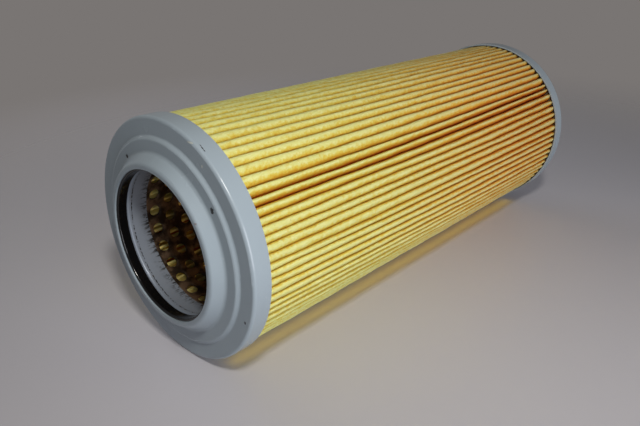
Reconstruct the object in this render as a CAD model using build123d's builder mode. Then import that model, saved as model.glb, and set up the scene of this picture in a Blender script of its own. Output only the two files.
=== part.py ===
"""Pleated filter element for a hydraulic return line, in millimetres.

The element stands on the collar of its bottom end cap, with its axis on +Z and Z = 0 at the lowest
point. Filter paper is pleated round a perforated steel core and bonded with adhesive into two pressed
steel end caps. Each cap has a collar whose rolled lip traps a rubber seal ring, and a short flanged
sleeve under the ring guides the core. Both ends are alike.
"""

import math
import os

from build123d import *

# The element as a whole
body_length = 325.0  # between the outer flat faces of the two caps
cap_radius = 65.0
seal_bore_radius = 39.2
fit_clearance = 0.1  # between pieces that slide into each other

# End cap, drawn from one steel sheet; its ledges follow each other outward from the bore
cap_sheet = 1.0
lip_set_back = 1.2  # the lip's edge stands behind the seal's bore by this
lip_width = 2.6
collar_taper = 4.4
collar_rise = 7.5  # top of the collar above the outer flat face
collar_crown_bend = 2.4
collar_base_bend = 2.2
step_ledge = 8.1  # raised flat ring between the collar and the step
step_rise = 1.6
step_bend = 1.2
rim_bend = 1.6
rim_depth = 10.4

# Rubber seal ring
seal_corner = 0.9

# Inner sleeve, whose flange closes the seal's groove from below
sleeve_sheet = 0.8
sleeve_set_back = 0.5  # the sleeve's bore stands behind the seal's bore by this
sleeve_bend = 1.6
sleeve_depth = 11.4  # reach below the outer flat face
flange_width = 12.0

# Perforated core
core_sheet = 0.8
hole_diameter = 6.2
holes_in_row = 24
row_count = 32
first_row_depth = 17.0  # centre of the first row below the outer flat face
punched_rows = 2  # rows punched from each end

# Adhesive and pleated paper
potting_depth = 6.0
paper = 0.6
pleat_count = 80
pleat_gap = 0.5  # between neighbouring outer folds
seam_gap = 1.4  # at the seam and at the gap on each side of it, which stand open
root_fold = 0.35  # inside radius of the inner folds
tip_clearance = 0.2  # outer folds to the inside of the rim
root_clearance = 0.4  # inner folds to the core
pitch_spread = 0.16  # unevenness of the pleats, as a share of their mean pitch
seam_angle = -60.0
seam_height = 8.0  # radial height of the glue bead that closes the paper strip

# Radii that follow, from the bore outward
lip_radius = seal_bore_radius + lip_set_back
collar_crown_radius = lip_radius + lip_width
collar_base_radius = collar_crown_radius + collar_taper
step_radius = collar_base_radius + step_ledge
rim_bore_radius = cap_radius - cap_sheet
seal_radius = collar_base_radius - cap_sheet - collar_base_bend
sleeve_bore_radius = seal_bore_radius + sleeve_set_back
sleeve_radius = sleeve_bore_radius + sleeve_sheet
flange_radius = sleeve_bore_radius + flange_width
core_bore_radius = sleeve_radius + fit_clearance
core_radius = core_bore_radius + core_sheet
root_radius = core_radius + root_clearance
tip_radius = rim_bore_radius - tip_clearance

# Heights above the ground, for the top end
top_face = collar_rise + body_length
middle = collar_rise + body_length / 2
lip_underside = top_face + collar_rise - cap_sheet
flange_top = top_face + step_rise - cap_sheet
core_end = flange_top - sleeve_bend - fit_clearance
paper_end = top_face - cap_sheet - potting_depth

os.makedirs("parts", exist_ok=True)


def write(piece, name):
    """Label a finished piece and write it as its own STEP file."""
    piece.label = name
    export_step(piece, f"parts/{name}.step")


def write_pair(piece, name):
    """Write a piece of the top end, and its mirror image for the bottom end."""
    write(piece, f"{name}_top")
    write(mirror(piece, about=Plane.XY.offset(middle)), f"{name}_bottom")


# End cap: one drawn sheet with rim, flat face, raised step and a collar with a rolled lip.
cap_corners = [
    (cap_radius, top_face - rim_depth),
    (cap_radius, top_face),
    (step_radius, top_face),
    (step_radius - step_rise, top_face + step_rise),
    (collar_base_radius, top_face + step_rise),
    (collar_crown_radius, top_face + collar_rise),
    (lip_radius, top_face + collar_rise),
]
cap_bends = [rim_bend, step_bend, step_bend, collar_base_bend, collar_crown_bend]

with BuildPart() as end_cap:
    with BuildSketch(Plane.XZ):
        with BuildLine():
            FilletPolyline(*cap_corners, radius=cap_bends)
            offset(amount=cap_sheet, side=Side.LEFT)
        make_face()
    revolve(axis=Axis.Z)
write_pair(end_cap.part, "end_cap")

# The whole space under the cap's outer surface, which bounds what is cast or pressed into it.
with BuildPart() as cap_space:
    with BuildSketch(Plane.XZ):
        with BuildLine():
            FilletPolyline(*cap_corners, radius=cap_bends)
            Polyline(
                cap_corners[-1],
                (0, top_face + collar_rise),
                (0, top_face - rim_depth),
                cap_corners[0],
            )
        make_face()
    revolve(axis=Axis.Z)

# Inner sleeve: a flange turned out under the seal's groove, bent down into a short tube.
with BuildPart() as inner_sleeve:
    with BuildSketch(Plane.XZ):
        with BuildLine():
            FilletPolyline(
                (flange_radius, flange_top),
                (sleeve_bore_radius, flange_top),
                (sleeve_bore_radius, top_face - sleeve_depth),
                radius=sleeve_bend,
            )
            offset(amount=sleeve_sheet, side=Side.LEFT)
        make_face()
    revolve(axis=Axis.Z)
write_pair(inner_sleeve.part, "inner_sleeve")

# Seal ring: fills the groove between the flange and the lip, with rounded corners at its bore.
with BuildPart() as seal_ring:
    with BuildSketch(Plane.XZ):
        with Locations((seal_bore_radius, flange_top)):
            Rectangle(
                seal_radius - seal_bore_radius,
                lip_underside - flange_top,
                align=(Align.MIN, Align.MIN),
            )
        bore_corners = vertices().group_by(Axis.X)[0]
        fillet(bore_corners, seal_corner)
    revolve(axis=Axis.Z)
    add(cap_space.part, mode=Mode.INTERSECT)
    add(end_cap.part, mode=Mode.SUBTRACT)
write_pair(seal_ring.part, "seal_ring")

# Potting: adhesive cast into the cap, from the core out to the rim and down to the paper's edge.
with BuildPart() as potting:
    with BuildSketch(Plane.XZ):
        with Locations((core_radius, paper_end)):
            Rectangle(
                rim_bore_radius - core_radius,
                flange_top - paper_end,
                align=(Align.MIN, Align.MIN),
            )
    revolve(axis=Axis.Z)
    add(cap_space.part, mode=Mode.INTERSECT)
    add(end_cap.part, mode=Mode.SUBTRACT)
    add(inner_sleeve.part, mode=Mode.SUBTRACT)
write_pair(potting.part, "potting")

# Perforated core: a steel tube with staggered rows of round holes.
row_pitch = (body_length - 2 * first_row_depth) / (row_count - 1)
hole_angle = 360 / holes_in_row


def holes_of_row(row):
    """Radial planes at the holes of one row, counted down from the top; odd rows are staggered."""
    height = top_face - first_row_depth - row * row_pitch
    planes = []
    for hole in range(holes_in_row):
        angle = math.radians(hole_angle * (hole + row % 2 / 2))
        outward = (math.cos(angle), math.sin(angle), 0)
        planes.append(Plane(origin=(0, 0, height), z_dir=outward).offset(core_bore_radius))
    return planes


end_rows = [*range(punched_rows), *range(row_count - punched_rows, row_count)]
hole_planes = [plane for row in end_rows for plane in holes_of_row(row)]

with BuildPart() as perforated_core:
    with BuildSketch(Plane.XY.offset(2 * middle - core_end)):
        Circle(core_radius)
        Circle(core_bore_radius, mode=Mode.SUBTRACT)
    extrude(amount=2 * (core_end - middle))
    with Locations(*hole_planes):
        Cylinder(hole_diameter / 2, 4 * core_sheet, mode=Mode.SUBTRACT)
write(perforated_core.part, "perforated_core")


# Pleated media: one strip of paper folded into uneven radial pleats and closed at a glued seam.
def gap_angle(gap):
    """Angle of a gap between two pleats in degrees; whole waves round the ring make it uneven."""
    turn = 2 * math.pi * gap / pleat_count
    shift = 0.6 * math.sin(7 * turn) + 0.4 * math.sin(19 * turn) + 0.3 * math.sin(31 * turn)
    return seam_angle + 360 / pleat_count * (gap + pitch_spread * shift)


def at(radius, angle):
    """Point of the cross-section at a radius and an angle in degrees."""
    return Vector(radius, 0).rotate(Axis.Z, angle)


def fold_edge(gap, side):
    """Angle of the outer fold's edge on one side of a gap (-1 or 1)."""
    open_gap = seam_gap if gap in (0, 1, pleat_count - 1, pleat_count) else pleat_gap
    return gap_angle(gap) + side * math.degrees(open_gap / 2 / tip_radius)


def tip_circle(pleat):
    """Centre and outside radius of a pleat's outer fold, between the gaps on its two sides."""
    first, last = fold_edge(pleat, 1), fold_edge(pleat + 1, -1)
    fold = math.radians(last - first) * tip_radius / 2
    return at(tip_radius - fold, (first + last) / 2), fold


def root_centre(gap):
    """Centre of the inner fold at a gap."""
    return at(root_radius + paper + root_fold, gap_angle(gap))


def leg(pleat, side, depth):
    """Ends of the straight leg on one side of a pleat (-1 or 1), at a depth into the paper.

    It is the line that touches the outer fold's circle and, from the other side, the inner fold's.
    """
    centre, tip_fold = tip_circle(pleat)
    gap = pleat + (side + 1) // 2
    across = root_centre(gap) - centre
    lean = math.degrees(math.acos((tip_fold + root_fold) / across.length))
    normal = across.normalized().rotate(Axis.Z, -side * lean)
    return centre + normal * (tip_fold - depth), root_centre(gap) - normal * (root_fold + depth)


def paper_side(depth):
    """Draw one side of the strip, from the seam once round the ring and back to the seam."""
    for pleat in range(pleat_count):
        first_tip, first_root = leg(pleat, -1, depth)
        last_tip, last_root = leg(pleat, 1, depth)
        centre, tip_fold = tip_circle(pleat)
        crest = centre + centre.normalized() * (tip_fold - depth)
        Line(first_root, first_tip)
        ThreePointArc(first_tip, crest, last_tip)
        Line(last_tip, last_root)
        if pleat < pleat_count - 1:
            fold = root_centre(pleat + 1)
            valley = fold - fold.normalized() * (root_fold + depth)
            ThreePointArc(last_root, valley, leg(pleat + 1, -1, depth)[1])


paper_length = 2 * (paper_end - middle)
seam_legs = [(0, -1), (pleat_count - 1, 1)]

with BuildPart() as pleated_media:
    with BuildSketch(Plane.XY.offset(2 * middle - paper_end)):
        with BuildLine():
            paper_side(0)
            paper_side(paper)
            for pleat, side in seam_legs:
                Line(leg(pleat, side, 0)[1], leg(pleat, side, paper)[1])
        make_face()
    extrude(amount=paper_length)
write(pleated_media.part, "pleated_media")

# Seam: the glue bead between the strip's two end legs.
bead_corners = []
for pleat, side in seam_legs:
    tip_end, root_end = leg(pleat, side, 0)
    along = (tip_end - root_end).normalized() * seam_height
    bead_corners.append((root_end, root_end + along))
(first_low, first_high), (last_low, last_high) = bead_corners

with BuildPart() as media_seam:
    with BuildSketch(Plane.XY.offset(2 * middle - paper_end)):
        with BuildLine():
            Polyline(first_low, first_high, last_high, last_low, close=True)
        make_face()
    extrude(amount=paper_length)
write(media_seam.part, "media_seam")
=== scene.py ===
"""Looks of a pleated hydraulic filter element: camera, light, finishes, pleated paper and punched core.

Lengths are in metres in the part's own frame: the element stands on +Z, with its open end at the top.
"""

import math

import bpy
import numpy as np
from mathutils import Matrix, Vector


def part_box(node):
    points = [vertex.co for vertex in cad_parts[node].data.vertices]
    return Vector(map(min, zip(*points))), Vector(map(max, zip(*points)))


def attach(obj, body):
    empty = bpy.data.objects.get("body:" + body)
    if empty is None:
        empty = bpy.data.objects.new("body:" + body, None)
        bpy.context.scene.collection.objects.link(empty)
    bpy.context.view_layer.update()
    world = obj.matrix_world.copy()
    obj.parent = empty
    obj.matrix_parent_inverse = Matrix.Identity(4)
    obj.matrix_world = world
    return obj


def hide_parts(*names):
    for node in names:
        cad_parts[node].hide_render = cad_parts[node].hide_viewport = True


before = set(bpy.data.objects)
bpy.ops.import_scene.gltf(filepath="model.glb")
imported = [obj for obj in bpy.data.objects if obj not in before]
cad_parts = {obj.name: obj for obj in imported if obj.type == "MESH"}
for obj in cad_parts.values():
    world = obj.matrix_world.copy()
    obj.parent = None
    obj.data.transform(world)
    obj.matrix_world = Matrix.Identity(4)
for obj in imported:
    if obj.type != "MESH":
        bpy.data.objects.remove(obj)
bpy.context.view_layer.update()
bpy.context.scene.view_settings.view_transform = "Standard"


# Camera: looks at the open end from above and to the side, with the element lying on its rims
# against the floor, which is the plane that both rims touch on their -X side.
cap_low, cap_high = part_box("end_cap_top")
cap_radius = cap_high.x
collar_rise = 0.0075
face_height = cap_high.z - collar_rise

camera_data = bpy.data.cameras.new("camera")
camera_data.sensor_width = 36.0
camera_data.lens = 33.33
camera = bpy.data.objects.new("camera", camera_data)
bpy.context.scene.collection.objects.link(camera)
bpy.context.scene.camera = camera

camera_right = (0.0, -0.72773, -0.68587)
camera_up = (0.91314, 0.27958, -0.29665)
camera_back = (0.40763, -0.62630, 0.66452)
camera_place = (
    2.10282 * cap_radius,
    -3.69486 * cap_radius,
    2.20891 * cap_radius + face_height,
)
camera_columns = [camera_right, camera_up, camera_back, camera_place]
camera_rows = [[column[row] for column in camera_columns] for row in range(3)]
camera.matrix_world = Matrix([*camera_rows, [0, 0, 0, 1]])


# Floor: a plain pale sheet along the rims' -X side, smooth enough for a dull sheen. It shows from
# its face only, and melts into the background further out.
def add_node(tree, kind, inputs=None, **settings):
    """Add a shader node and return its outputs; inputs are outputs to link or values to set."""
    node = tree.nodes.new("ShaderNode" + kind)
    for name, value in settings.items():
        setattr(node, name, value)
    for name, value in (inputs or {}).items():
        if isinstance(value, bpy.types.NodeSocket):
            tree.links.new(value, node.inputs[name])
        else:
            node.inputs[name].default_value = value
    return node.outputs


def colour(code):
    """Linear RGBA of an sRGB colour such as "8C939A"."""
    shares = [int(code[at : at + 2], 16) / 255 for at in (0, 2, 4)]
    linear = [s / 12.92 if s <= 0.04045 else ((s + 0.055) / 1.055) ** 2.4 for s in shares]
    return (*linear, 1.0)


def new_material(name):
    """Node material, its empty tree, and the object's own coordinates in that tree."""
    material = bpy.data.materials.new(name)
    material.use_nodes = True
    tree = material.node_tree
    tree.nodes.clear()
    return material, tree, add_node(tree, "TexCoord")["Object"]


def grains(tree, place, size, detail, roughness=0.55, stretch=(1, 1, 1)):
    """Pattern of soft grains of a size in metres, longer where stretch is over 1.

    The coordinates are divided by the grain's size before the noise, because the noise node's own
    scale can't reach the finest grains.
    """
    shrink = [1 / (size * times) for times in stretch]
    scaled = add_node(tree, "Mapping", {"Vector": place, "Scale": shrink})[0]
    inputs = {"Vector": scaled, "Scale": 1.0, "Detail": detail, "Roughness": roughness}
    return add_node(tree, "TexNoise", inputs)["Fac"]


def cover(tree, tone, layers):
    """Lay colours over a tone one after the other, and return the last tone.

    Each layer is a pattern, the pattern's values where the colour starts and where it is full, how
    much of the colour then shows, and the colour. Without limits the pattern is the share itself.
    """
    for pattern, limits, most, over in layers:
        start, full = limits or (0.0, 1.0)
        share = add_node(
            tree,
            "MapRange",
            {"Value": pattern, "From Min": start, "From Max": full, "To Max": most},
            interpolation_type="SMOOTHSTEP" if limits else "LINEAR",
        )["Result"]
        over = colour(over) if isinstance(over, str) else over
        tone = add_node(tree, "Mix", {0: share, 6: tone, 7: over}, data_type="RGBA")[2]
    return tone


floor_x = -cap_radius
floor_corners = [(-1.6, -3.2), (4.0, -3.2), (4.0, 1.6), (-1.6, 1.6)]
floor_mesh = bpy.data.meshes.new("floor")
floor_mesh.from_pydata([(floor_x, y, z) for y, z in floor_corners], [], [(0, 1, 2, 3)])
floor = bpy.data.objects.new("floor", floor_mesh)
bpy.context.scene.collection.objects.link(floor)

background = colour("797573")
fade_start, fade_end = 0.12, 0.70  # distances from a point under the element's lower half
floor_material, tree, place = new_material("pale_floor_sheet")
floor_layers = [
    (grains(tree, place, 0.25, 2.0), None, 1.0, "D0CDD0"),
    (grains(tree, place, 0.004, 4.0), None, 0.12, "BEBABD"),
]
floor_tone = cover(tree, colour("C8C6CE"), floor_layers)
floor_face = add_node(
    tree,
    "BsdfPrincipled",
    {"Base Color": floor_tone, "Roughness": 0.38, "Specular IOR Level": 0.5},
)[0]
spread = add_node(
    tree,
    "Mapping",
    {"Vector": place, "Location": (cap_radius, 0.0, -0.05), "Scale": (0.0, 1.0, 1.0)},
)[0]
distance = add_node(tree, "VectorMath", {0: spread}, operation="LENGTH")["Value"]
fade = add_node(
    tree,
    "MapRange",
    {"Value": distance, "From Min": fade_start, "From Max": fade_end},
    interpolation_type="SMOOTHSTEP",
)["Result"]
behind = add_node(tree, "NewGeometry")["Backfacing"]
unseen = add_node(tree, "Math", {0: fade, 1: behind}, operation="MAXIMUM")[0]
clear = add_node(tree, "BsdfTransparent")[0]
floor_surface = add_node(tree, "MixShader", {0: unseen, 1: floor_face, 2: clear})[0]
add_node(tree, "OutputMaterial", {"Surface": floor_surface})
floor_mesh.materials.append(floor_material)


# Light: a dim bluish room, a small key lamp above the open end and a broad fill lamp in front. The
# back, bore and glow lamps are stage aids that make no reflections: they lift the back, light the
# core's far holes, and throw the warm light of the paper onto the floor beneath it.
world = bpy.data.worlds.new("room")
bpy.context.scene.world = world
world.use_nodes = True
tree = world.node_tree
tree.nodes.clear()
rays = add_node(tree, "LightPath")
seen = rays["Is Camera Ray"]
for ray in ("Is Glossy Ray", "Is Transmission Ray"):
    seen = add_node(tree, "Math", {0: seen, 1: rays[ray]}, operation="MAXIMUM")[0]
room_light = add_node(tree, "Background", {"Color": colour("BCC8DC"), "Strength": 0.09})[0]
room_seen = add_node(tree, "Background", {"Color": background, "Strength": 1.0})[0]
room = add_node(tree, "MixShader", {0: seen, 1: room_light, 2: room_seen})[0]
add_node(tree, "OutputWorld", {"Surface": room})


def add_lamp(name, stand, target, width, length, power, tint, glossy):
    """Area lamp that faces a target, hidden from view; glossy lamps show in reflections."""
    data = bpy.data.lights.new(name, "AREA")
    data.shape = "RECTANGLE"
    data.size = width
    data.size_y = length
    data.energy = power
    data.color = colour(tint)[:3]
    lamp = bpy.data.objects.new(name, data)
    bpy.context.scene.collection.objects.link(lamp)
    lamp.location = stand
    lamp.rotation_euler = (Vector(stand) - Vector(target)).to_track_quat("Z", "Y").to_euler()
    lamp.visible_camera = False
    lamp.visible_glossy = glossy


glow_y, glow_z = -0.031, 0.168
glow_stand = (floor_x + 0.0045, glow_y, glow_z)
glow_target = (floor_x, glow_y, glow_z)
add_lamp("key_lamp", (0.42, -0.30, 0.48), (0.0, 0.0, 0.36), 0.06, 0.06, 1.7, "FFFBF4", True)
add_lamp("fill_lamp", (0.03, -0.62, 0.37), (0.0, 0.0, 0.24), 0.40, 0.40, 3.0, "FAFAFF", True)
add_lamp("back_lamp", (0.14, 1.20, 0.18), (0.0, 0.0, 0.16), 0.50, 0.50, 8.5, "FAFAFF", False)
add_lamp("bore_lamp", (0.0, -0.012, 0.20), (-0.01, 0.05, 0.31), 0.02, 0.02, 0.030, "FFCC96", False)
add_lamp("paper_glow_lamp", glow_stand, glow_target, 0.006, 0.31, 0.0038, "FFD434", False)


# End caps: each is one pressing of sheet steel, sprayed with satin grey paint. The paint gives a
# soft sheen with faint orange peel, specks of dust, and a few chips down to dark primer or rust.
def near_mark(tree, place, spot, reach, ragged):
    """1 inside a small mark round a spot, 0 elsewhere.

    The distance from the spot, counted in the mark's reach each way, plus a ragged term: the mark
    ends softly where the sum passes 1.
    """
    offset = add_node(tree, "VectorMath", {0: place, 1: spot}, operation="SUBTRACT")[0]
    per_reach = [1 / size for size in reach]
    scaled = add_node(tree, "VectorMath", {0: offset, 1: per_reach}, operation="MULTIPLY")[0]
    length = add_node(tree, "VectorMath", {0: scaled}, operation="LENGTH")["Value"]
    edge = add_node(tree, "Math", {0: length, 1: ragged}, operation="ADD")[0]
    return add_node(
        tree,
        "MapRange",
        {"Value": edge, "From Min": 1.15, "From Max": 0.85},
        interpolation_type="SMOOTHSTEP",
    )["Result"]


def on_ring(radius, degrees, height):
    """Point at a radius and an angle, at a height above the cap's outer flat face."""
    angle = math.radians(degrees)
    return (radius * math.cos(angle), radius * math.sin(angle), face_height + height)


dark_chips = [
    (on_ring(0.0507, -53.1, 0.0016), (0.0015, 0.0012, 0.0015)),
    (on_ring(0.0493, 35.9, 0.0016), (0.0010, 0.0011, 0.0015)),
    (on_ring(0.0611, -111.0, 0.0), (0.0008, 0.0006, 0.0015)),
    (on_ring(0.0650, -30.6, -0.0022), (0.0005, 0.0009, 0.0002)),
    (on_ring(0.0650, -29.2, -0.0023), (0.0005, 0.0009, 0.0003)),
    (on_ring(0.0650, -27.8, -0.0025), (0.0005, 0.0009, 0.0002)),
]
pale_chips = [
    (on_ring(0.0595, -34.3, 0.0), (0.0007, 0.0005, 0.0015)),
    (on_ring(0.0640, -24.0, 0.0), (0.0004, 0.0020, 0.0008)),
]
rust_chips = [(on_ring(0.0424, -55.5, 0.0060), (0.0009, 0.0010, 0.0014))]

paint_material, tree, place = new_material("satin_grey_paint_on_steel")
paint_cloud = grains(tree, place, 0.03, 3.0)
orange_peel = grains(tree, place, 0.0009, 2.0)
paint_dust = grains(tree, place, 0.0025, 5.0, 0.7)
chip_grain = grains(tree, place, 0.0006, 3.0)
ragged = add_node(tree, "Math", {0: chip_grain, 1: 0.5}, operation="SUBTRACT")[0]
paint_layers = [(paint_cloud, None, 1.0, "99A5AC"), (paint_dust, (0.62, 0.78), 0.25, "B4B8BA")]
chipped = 0.0
for chips, chip_colour in ((dark_chips, "1D1B1A"), (pale_chips, "B9BDB6"), (rust_chips, "7A4A3A")):
    for spot, reach in chips:
        mark = near_mark(tree, place, spot, reach, ragged)
        paint_layers.append((mark, None, 1.0, chip_colour))
        chipped = add_node(tree, "Math", {0: chipped, 1: mark}, operation="MAXIMUM")[0]
paint_tone = cover(tree, colour("909CA4"), paint_layers)
paint_left = add_node(tree, "Math", {0: 1.0, 1: chipped}, operation="SUBTRACT")[0]
relief = add_node(tree, "Bump", {"Height": orange_peel, "Distance": 0.00002, "Strength": 0.6})[0]
relief = add_node(
    tree,
    "Bump",
    {"Height": paint_left, "Distance": 0.0001, "Strength": 1.0, "Normal": relief},
)[0]
paint_gloss = add_node(tree, "MapRange", {"Value": paint_cloud, "To Min": 0.21, "To Max": 0.31})
paint_surface = add_node(
    tree,
    "BsdfPrincipled",
    {"Base Color": paint_tone, "Roughness": paint_gloss["Result"], "Normal": relief},
)[0]
add_node(tree, "OutputMaterial", {"Surface": paint_surface})


def dress(name, material):
    """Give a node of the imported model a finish."""
    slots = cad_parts[name].data.materials
    slots.clear()
    slots.append(material)


dress("end_cap_top", paint_material)
dress("end_cap_bottom", paint_material)


# Seal rings: moulded black rubber, pressed in under each collar's lip. A light film of oil gives
# sharp highlights, dull and greyer where dust sticks to it.
rubber_material, tree, place = new_material("black_seal_rubber")
rubber_grain = grains(tree, place, 0.0006, 3.0)
rubber_dust = grains(tree, place, 0.003, 4.0, 0.65)
dusty = (0.6, 0.8)
rubber_tone = cover(tree, colour("0B0B0C"), [(rubber_dust, dusty, 0.15, "3A3936")])
rubber_gloss = add_node(
    tree,
    "MapRange",
    {"Value": rubber_dust, "From Min": dusty[0], "From Max": dusty[1], "To Min": 0.15, "To Max": 0.4},
    interpolation_type="SMOOTHSTEP",
)["Result"]
relief = add_node(tree, "Bump", {"Height": rubber_grain, "Distance": 0.00002, "Strength": 0.5})[0]
rubber_surface = add_node(
    tree,
    "BsdfPrincipled",
    {"Base Color": rubber_tone, "Roughness": rubber_gloss, "Normal": relief},
)[0]
add_node(tree, "OutputMaterial", {"Surface": rubber_surface})
dress("seal_ring_top", rubber_material)
dress("seal_ring_bottom", rubber_material)


# Inner sleeves: short turned-out steel tubes with a thin grey coat, pressed into the collars. The
# coat has a dull metal sheen, with dark scuffs and smudges near its far edge and specks by the seal.
sleeve_depth = 0.0114
seal_line_depth = 0.0022
sleeve_material, tree, place = new_material("scuffed_grey_sleeve_steel")
sleeve_cloud = grains(tree, place, 0.012, 4.0)
sleeve_height = add_node(tree, "SeparateXYZ", {0: place})["Z"]
seal_line = face_height - seal_line_depth
from_line = add_node(tree, "Math", {0: sleeve_height, 1: seal_line}, operation="SUBTRACT")[0]
from_line = add_node(tree, "Math", {0: from_line}, operation="ABSOLUTE")[0]
edge_limits = (face_height - 0.5 * sleeve_depth, face_height - sleeve_depth)
marks = []
for pattern, (start, full) in (
    (grains(tree, place, 0.0010, 3.0, 0.6, (1, 1, 5)), (0.54, 0.62)),  # scratches
    (grains(tree, place, 0.0022, 5.0, 0.7, (1, 1, 2)), (0.50, 0.62)),  # smudges
    (sleeve_height, edge_limits),  # only near the far edge
    (grains(tree, place, 0.0010, 2.0, 0.6, (1.3, 1.3, 0.6)), (0.46, 0.54)),  # specks
    (from_line, (0.0005, 0.0002)),  # only along the seal
):
    limits = {"Value": pattern, "From Min": start, "From Max": full}
    mark = add_node(tree, "MapRange", limits, interpolation_type="SMOOTHSTEP")["Result"]
    marks.append(mark)
scratches, smudges, by_edge, specks, by_seal = marks
dirt = add_node(tree, "Math", {0: scratches, 1: smudges}, operation="MAXIMUM")[0]
dirt = add_node(tree, "Math", {0: dirt, 1: by_edge}, operation="MULTIPLY")[0]
line_dirt = add_node(tree, "Math", {0: specks, 1: by_seal}, operation="MULTIPLY")[0]
dirt = add_node(tree, "Math", {0: dirt, 1: line_dirt}, operation="MAXIMUM")[0]
sleeve_layers = [(sleeve_cloud, None, 1.0, "8E97A3"), (dirt, None, 1.0, "23211F")]
sleeve_tone = cover(tree, colour("7F8894"), sleeve_layers)
relief = add_node(tree, "Bump", {"Height": sleeve_cloud, "Distance": 0.00008, "Strength": 0.4})[0]
sleeve_surface = add_node(
    tree,
    "BsdfPrincipled",
    {"Base Color": sleeve_tone, "Roughness": 0.42, "Metallic": 0.25, "Normal": relief},
)[0]
add_node(tree, "OutputMaterial", {"Surface": sleeve_surface})
dress("inner_sleeve_top", sleeve_material)
dress("inner_sleeve_bottom", sleeve_material)


# Potting: amber grey adhesive, cast into each cap round the ends of the pleats. Fine bubbles give it
# a slightly pitted, half-dull face.
potting_material, tree, place = new_material("cast_potting_adhesive")
bubble_grain = grains(tree, place, 0.0015, 3.0)
bubbles = add_node(
    tree,
    "MapRange",
    {"Value": bubble_grain, "From Min": 0.55, "From Max": 0.7},
    interpolation_type="SMOOTHSTEP",
)["Result"]
potting_tone = cover(tree, colour("8A7A5C"), [(bubbles, None, 1.0, "6E5F45")])
relief = add_node(tree, "Bump", {"Height": bubbles, "Distance": 0.0002, "Strength": 0.5})[0]
potting_surface = add_node(
    tree,
    "BsdfPrincipled",
    {"Base Color": potting_tone, "Roughness": 0.5, "Normal": relief},
)[0]
add_node(tree, "OutputMaterial", {"Surface": potting_surface})
dress("potting_top", potting_material)
dress("potting_bottom", potting_material)


# Pleated paper: one strip of resin-treated paper, folded into uneven pleats round the core and
# closed at a seam, where the folds stand wider apart. The folds wander a little along the element.
def add_piece(name, points, faces, material):
    """Smooth mesh object from points and faces, riding on the element's one body."""
    mesh = bpy.data.meshes.new(name)
    mesh.from_pydata(points.tolist(), [], faces.tolist())
    mesh.polygons.foreach_set("use_smooth", np.ones(len(mesh.polygons), bool))
    mesh.materials.append(material)
    piece = bpy.data.objects.new(name, mesh)
    bpy.context.scene.collection.objects.link(piece)
    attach(piece, "root")
    return piece


def tube_faces(rows, columns):
    """Quads of a grid of rows whose columns close into a ring."""
    row, column = np.meshgrid(np.arange(rows - 1), np.arange(columns), indexing="ij")
    after = (column + 1) % columns
    corners = [row * columns + column, row * columns + after]
    corners += [(row + 1) * columns + after, (row + 1) * columns + column]
    return np.stack(corners, -1).reshape(-1, 4)


pleat_count = 80
pleat_rows = 56
tip_steps = 8
paper = 0.0006
root_fold = 0.00035
notch_depth = 0.0031
seam_notch = 0.0030  # how much deeper the notches are beside the seam
crest_offset = 0.34  # how far a crest stands to one side, as a share of half its pleat
crest_setback, crest_unevenness = 0.00025, 0.00010
narrow_gap, far_opening, seam_opening = 0.00004, 0.00018, 0.0003
seam_angle = math.radians(-59.8)
media_low, media_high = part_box("pleated_media")
core_low, core_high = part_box("perforated_core")
tip_radius = cap_radius - 0.0012
root_radius = core_high.x + 0.0004

heights = np.linspace(media_low.z, media_high.z, pleat_rows)[:, None]
along = (media_high.z - heights) / (media_high.z - media_low.z)  # 0 at the open end, 1 at the far one
wave = 2 * np.pi * along
gaps = np.arange(pleat_count + 1)[None, :]
turn = 2 * np.pi * gaps / pleat_count
beyond = np.where(gaps > pleat_count / 2, gaps - pleat_count, gaps)  # gaps counted from the seam

# Drift of each gap from its even place, in degrees: the pleats bunch on one side of the seam and
# spread on the other, more so at the open end, with ripples on top.
bunching = np.abs(np.sin(turn / 2)) * np.cos((turn - np.where(beyond < 0, 2 * np.pi, 0)) / 4) ** 2
drift = (
    (9.8 - 13.0 * along) * bunching
    + (0.8 * along - 1.3) * np.sin(turn)
    - 0.7 * np.sin(np.pi * along)
    + 1.3 * along**2
    - 0.9 * (1 - 0.6 * along) * np.exp(-((beyond - 1) ** 2))
)
ripples = [  # size in degrees, waves along the element, waves round it, phase
    (0.30, 0.0, 19, 1.2),
    (0.22, 0.0, 31, 0.0),
    (0.14, 1.3, 9, 1.0),
    (0.10, 2.3, 23, 0.0),
    (0.07, 6.1, 37, 0.0),
    (0.07, 11.3, 29, 0.0),
]
for size, waves_along, waves_round, phase in ripples:
    drift = drift + size * np.sin(waves_along * wave + waves_round * turn + phase)
gap_angle = seam_angle + turn + np.radians(drift)
by_seam = np.broadcast_to(np.exp(-(((beyond - 0.4) / 1.4) ** 2)), drift.shape)
gap_width = (
    narrow_gap
    + far_opening * along
    + 0.00001 * np.sin(13 * turn + 1)
    + 0.00002 * along * np.sin(2.3 * wave + 17 * turn)
    + seam_opening * by_seam
)
half_gap = gap_width / 2 / tip_radius
first_edge = gap_angle[:, :-1] + half_gap[:, :-1]
last_edge = gap_angle[:, 1:] - half_gap[:, 1:]
middle = (first_edge + last_edge) / 2
tip_wave = np.sin(1.7 * wave + 21 * turn[:, :-1]) + np.sin(9.7 * wave + 33 * turn[:, :-1])
crest = tip_radius - crest_setback + crest_unevenness * tip_wave


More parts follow.
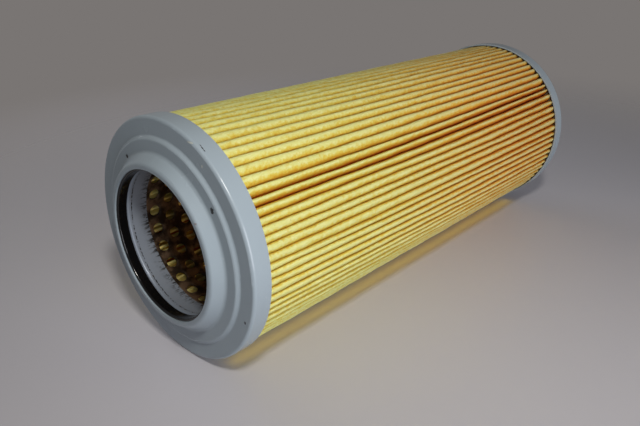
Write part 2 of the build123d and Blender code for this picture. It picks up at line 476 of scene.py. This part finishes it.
def strip_outside():
    """Outer side of the paper as complex points: rows along the element, columns from seam to seam.

    Each pleat is a squashed arch whose crest stands a little to one side, with feet that nearly meet
    its neighbours' at the notch depth, then two straight legs, and an inner fold beside the core.
    The arch is a circle whose sine and cosine are raised to a power under 1, which squares it.
    """
    half_width = ((last_edge - first_edge) / 2 * (crest - notch_depth))[..., None]
    lean = np.linspace(-np.pi / 2, np.pi / 2, tip_steps)
    open_by = np.where(lean < 0, by_seam[:, :-1, None], by_seam[:, 1:, None])
    squareness = np.where(lean < 0, 1.5 - 0.1 * open_by, 2.8 - 0.5 * open_by)
    run = np.sign(lean) * np.abs(np.sin(lean)) ** (2 / squareness)
    side_share = np.where(lean < 0, 1 + crest_offset, 1 - crest_offset)
    across = half_width * (crest_offset + run * side_share)
    depth = notch_depth * (0.62 + 0.65 * along)[..., None] + seam_notch * open_by
    down = depth * (1 - np.abs(np.cos(lean)) ** (2 / squareness))
    tips = (crest[..., None] - down + 1j * across) * np.exp(1j * middle)[..., None]
    root_reach = root_radius + paper + root_fold
    root_centre = root_reach * np.exp(1j * gap_angle[:, 1:])
    sweep = gap_angle[:, 1:, None] + np.radians([80.0, 0.0, -80.0])
    roots = root_centre[..., None] - root_fold * np.exp(1j * sweep)
    pleats = np.concatenate([tips, roots], -1).reshape(pleat_rows, -1)
    start = root_reach * np.exp(1j * gap_angle[:, :1])
    start = start + root_fold * np.exp(1j * (gap_angle[:, :1] + np.radians(100.0)))
    return np.concatenate([start, pleats[:, :-2]], 1)


def strip_inside(outside):
    """The paper's other side, one paper thickness along the section's normal."""
    ahead = np.gradient(outside, axis=1)
    return outside + 1j * ahead / np.abs(ahead) * paper


def raise_points(section):
    """Points in space of complex section points, one row per height."""
    level = np.broadcast_to(heights, section.shape)
    return np.stack([section.real, section.imag, level], -1).reshape(-1, 3)


outer_side = strip_outside()
inner_side = strip_inside(outer_side)
section = np.concatenate([outer_side, inner_side[:, ::-1]], 1)
strip_length = outer_side.shape[1]
loop = section.shape[1]
low_edge = np.arange(strip_length - 1)
low_cap = np.stack([low_edge + 1, low_edge, loop - 1 - low_edge, loop - 2 - low_edge], -1)
high_cap = low_cap[:, ::-1] + (pleat_rows - 1) * loop
paper_faces = np.concatenate([tube_faces(pleat_rows, loop), low_cap, high_cap])

# The paper is matt and lets a little light through. Its crests are pale; down in the folds the
# colour turns golden, then brown, as painted shade and warm bounce light. It is warmer towards the
# far end. Its fibres are drawn coarser than they are, because real ones are too fine to show.
paper_material, tree, place = new_material("yellow_resin_treated_filter_paper")
fibre = grains(tree, place, 0.0012, 5.0, 0.7, (1, 1, 2.5))
blotch = grains(tree, place, 0.02, 3.0)
pulp = grains(tree, place, 0.0004, 2.0)
fray = grains(tree, place, 0.0020, 4.0, 0.65, (1, 1, 1.1))
fleck = grains(tree, place, 0.0011, 2.0, 0.5, (1, 1, 1.5))
flat = add_node(tree, "Mapping", {"Vector": place, "Scale": (1.0, 1.0, 0.0)})[0]
from_axis = add_node(tree, "VectorMath", {0: flat}, operation="LENGTH")["Value"]
sunk = add_node(tree, "Math", {0: tip_radius, 1: from_axis}, operation="SUBTRACT")[0]
uneven = add_node(tree, "Math", {0: fray, 1: 0.5}, operation="SUBTRACT")[0]
depths = []
for fray_depth in (0.0028, 0.0030):  # the second adds to the first, for the deeper tones
    shift = add_node(tree, "Math", {0: uneven, 1: fray_depth}, operation="MULTIPLY")[0]
    sunk = add_node(tree, "Math", {0: sunk, 1: shift}, operation="ADD")[0]
    depths.append(sunk)
fold_depth, deep_fold_depth = depths
paper_height = add_node(tree, "SeparateXYZ", {0: place})["Z"]
warmer_heights = (0.27, 0.06)  # heights between which the paper turns warmer
# Painted shade and warm bounce light: tones laid on by depth below the crests, golden on the slopes, then
# ochre, then brown deep in the folds.
slope_painted_shade = cover(tree, colour("D4C052"), [(paper_height, warmer_heights, 1.0, "E4B044")])
notch_painted_shade = cover(tree, colour("C89A2C"), [(paper_height, warmer_heights, 1.0, "D07C24")])
deep_painted_shade = cover(tree, colour("D0681A"), [(paper_height, warmer_heights, 1.0, "C4541A")])
paper_layers = [
    (blotch, None, 1.0, "D5D47E"),
    (paper_height, warmer_heights, 1.0, "DCC680"),
    (fibre, (0.35, 0.75), 0.8, "E5E5A2"),
    (fleck, (0.72, 0.78), 0.6, "9C7A3C"),
    # The next three layers paint shade and bounce light into the folds by their depth below the crests.
    (fold_depth, (0.0003, 0.0012), 1.0, slope_painted_shade),
    (fold_depth, (0.0010, 0.0021), 1.0, notch_painted_shade),
    (deep_fold_depth, (0.0024, 0.0048), 1.0, deep_painted_shade),
    # Painted light: the inner folds are drawn pale, as if lit through the core's holes.
    (deep_fold_depth, (0.012, 0.018), 1.0, "EFE08C"),  # inner folds, lit through the core's holes
]
paper_tone = cover(tree, colour("D9DA8A"), paper_layers)
relief = add_node(tree, "Bump", {"Height": fibre, "Distance": 0.00025, "Strength": 0.5})[0]
relief = add_node(
    tree,
    "Bump",
    {"Height": pulp, "Distance": 0.00008, "Strength": 0.5, "Normal": relief},
)[0]
paper_face = add_node(
    tree,
    "BsdfPrincipled",
    {"Base Color": paper_tone, "Roughness": 0.85, "Specular IOR Level": 0.15, "Normal": relief},
)[0]
paper_glow = add_node(tree, "BsdfTranslucent", {"Color": colour("E2B45C"), "Normal": relief})[0]
paper_surface = add_node(tree, "MixShader", {0: 0.15, 1: paper_face, 2: paper_glow})[0]
add_node(tree, "OutputMaterial", {"Surface": paper_surface})

media = add_piece("paper_pleats", raise_points(section), paper_faces, paper_material)
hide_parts("pleated_media")


# Seam bead: brown glue, run between the strip's two end legs from the core outward and cured hard,
# with a slightly glossy, uneven skin.
bead_height = 0.008
bead_hollow = 0.0004
first_root, first_tip = outer_side[:, :1], outer_side[:, 1:2]
last_root, last_tip = outer_side[:, -1:], outer_side[:, -2:-1]
first_top = first_root + (first_tip - first_root) / np.abs(first_tip - first_root) * bead_height
last_top = last_root + (last_tip - last_root) / np.abs(last_tip - last_root) * bead_height
bead_middle = (first_top + last_top) / 2 * (1 - bead_hollow / root_radius)
bead_section = np.concatenate([first_root, first_top, bead_middle, last_top, last_root], 1)
bead_corners = bead_section.shape[1]
bead_faces = tube_faces(pleat_rows, bead_corners).tolist()
bead_faces.append(list(range(bead_corners))[::-1])
bead_faces.append([(pleat_rows - 1) * bead_corners + corner for corner in range(bead_corners)])

glue_material, tree, place = new_material("brown_cured_seam_glue")
glue_cloud = grains(tree, place, 0.002, 3.0)
glue_tone = cover(tree, colour("5A2F16"), [(glue_cloud, None, 1.0, "7A4A22")])
relief = add_node(tree, "Bump", {"Height": glue_cloud, "Distance": 0.0002, "Strength": 0.5})[0]
glue_surface = add_node(
    tree,
    "BsdfPrincipled",
    {"Base Color": glue_tone, "Roughness": 0.35, "Normal": relief},
)[0]
add_node(tree, "OutputMaterial", {"Surface": glue_surface})

bead_mesh = bpy.data.meshes.new("seam_bead")
bead_mesh.from_pydata(raise_points(bead_section).tolist(), [], bead_faces)
bead_mesh.materials.append(glue_material)
bead = bpy.data.objects.new("seam_bead", bead_mesh)
bpy.context.scene.collection.objects.link(bead)
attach(bead, "root")
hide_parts("media_seam")


# Core: a rolled tube of dark punched steel that carries the pleats, with staggered rows of round
# holes over its whole length. The punch leaves a fine round on each hole's edge.
core_sheet = 0.0008
core_outer = core_high.x
core_inner = core_outer - core_sheet
hole_radius = 0.0031
hole_round = 0.00015
holes_in_row = 24
row_count = 32
first_row_depth = 0.017
body_length = face_height - collar_rise
row_pitch = (body_length - 2 * first_row_depth) / (row_count - 1)
cell_angle = 2 * np.pi / holes_in_row
across_steps, along_steps = 6, 4

# One cell is the sheet round one hole: rings of points from the cell's square border to the hole's
# edge, through the sheet, and back to the border inside. Its points hold angle, radius and height.
step_across = np.linspace(-0.5, 0.5, across_steps + 1)[:-1]
step_along = np.linspace(-0.5, 0.5, along_steps + 1)[:-1]
side_across, side_along = np.full(along_steps, 0.5), np.full(across_steps, 0.5)
edge_across = np.concatenate([step_across, side_across, -step_across, -side_across])
edge_along = np.concatenate([-side_along, step_along, side_along, -step_along])
edge_x = edge_across * cell_angle * core_outer
edge_z = edge_along * row_pitch
edge_turn = np.arctan2(edge_z, edge_x)
edge_count = len(edge_turn)

rings = [  # distance from the hole's centre, or the border, and radius from the core's axis
    (None, core_outer),
    (hole_radius + hole_round, core_outer),
    (hole_radius, core_outer - hole_round),
    (hole_radius, core_inner + hole_round),
    (hole_radius + hole_round, core_inner),
    (None, core_inner),
]
cell_points = []
for hole_reach, radius in rings:
    x = edge_x if hole_reach is None else hole_reach * np.cos(edge_turn)
    z = edge_z if hole_reach is None else hole_reach * np.sin(edge_turn)
    cell_points.append(np.stack([x / core_outer, np.full(edge_count, radius), z], -1))
cell_turn, cell_radius, cell_rise = np.concatenate(cell_points).T

# The cells stand in rows from the top down, and each odd row is turned by half a cell.
row, hole = (index.reshape(-1, 1) for index in np.mgrid[:row_count, :holes_in_row])
angle = cell_angle * (hole + row % 2 / 2) + cell_turn
height = face_height - first_row_depth - row * row_pitch + cell_rise
cells = np.stack([cell_radius * np.cos(angle), cell_radius * np.sin(angle), height], -1)
first_points = len(cell_turn) * np.arange(row_count * holes_in_row)
core_points = [cells.reshape(-1, 3)]
core_faces = [(tube_faces(len(rings), edge_count) + first_points[:, None, None]).reshape(-1, 4)]

# Plain bands close the sheet above the first row and below the last one.
ring_steps = holes_in_row * across_steps
ring_angle = 2 * np.pi * np.arange(ring_steps) / ring_steps
ring_turn = np.stack([np.cos(ring_angle), np.sin(ring_angle)], -1)
top_cell = face_height - first_row_depth + row_pitch / 2
low_cell = top_cell - row_count * row_pitch
base = len(core_points[0])
end_bands = [
    [(core_inner, top_cell), (core_inner, core_high.z), (core_outer, core_high.z), (core_outer, top_cell)],
    [(core_outer, low_cell), (core_outer, core_low.z), (core_inner, core_low.z), (core_inner, low_cell)],
]
for profile in end_bands:
    for radius, level in profile:
        core_points.append(np.concatenate([radius * ring_turn, np.full((ring_steps, 1), level)], 1))
    core_faces.append(tube_faces(len(profile), ring_steps)[:, ::-1] + base)
    base += len(profile) * ring_steps

# Bare steel gone dark and dull: brown patches of old oil film over a weak metal sheen.
core_material, tree, place = new_material("dull_dark_punched_steel")
core_cloud = grains(tree, place, 0.006, 4.0)
core_tone = cover(tree, colour("3C3026"), [(core_cloud, (0.38, 0.62), 1.0, "86705A")])
relief = add_node(tree, "Bump", {"Height": core_cloud, "Distance": 0.0001, "Strength": 0.4})[0]
core_surface = add_node(
    tree,
    "BsdfPrincipled",
    {"Base Color": core_tone, "Metallic": 0.6, "Roughness": 0.45, "Normal": relief},
)[0]
add_node(tree, "OutputMaterial", {"Surface": core_surface})
core = add_piece(
    "punched_core",
    np.concatenate(core_points),
    np.concatenate(core_faces),
    core_material,
)
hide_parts("perforated_core")
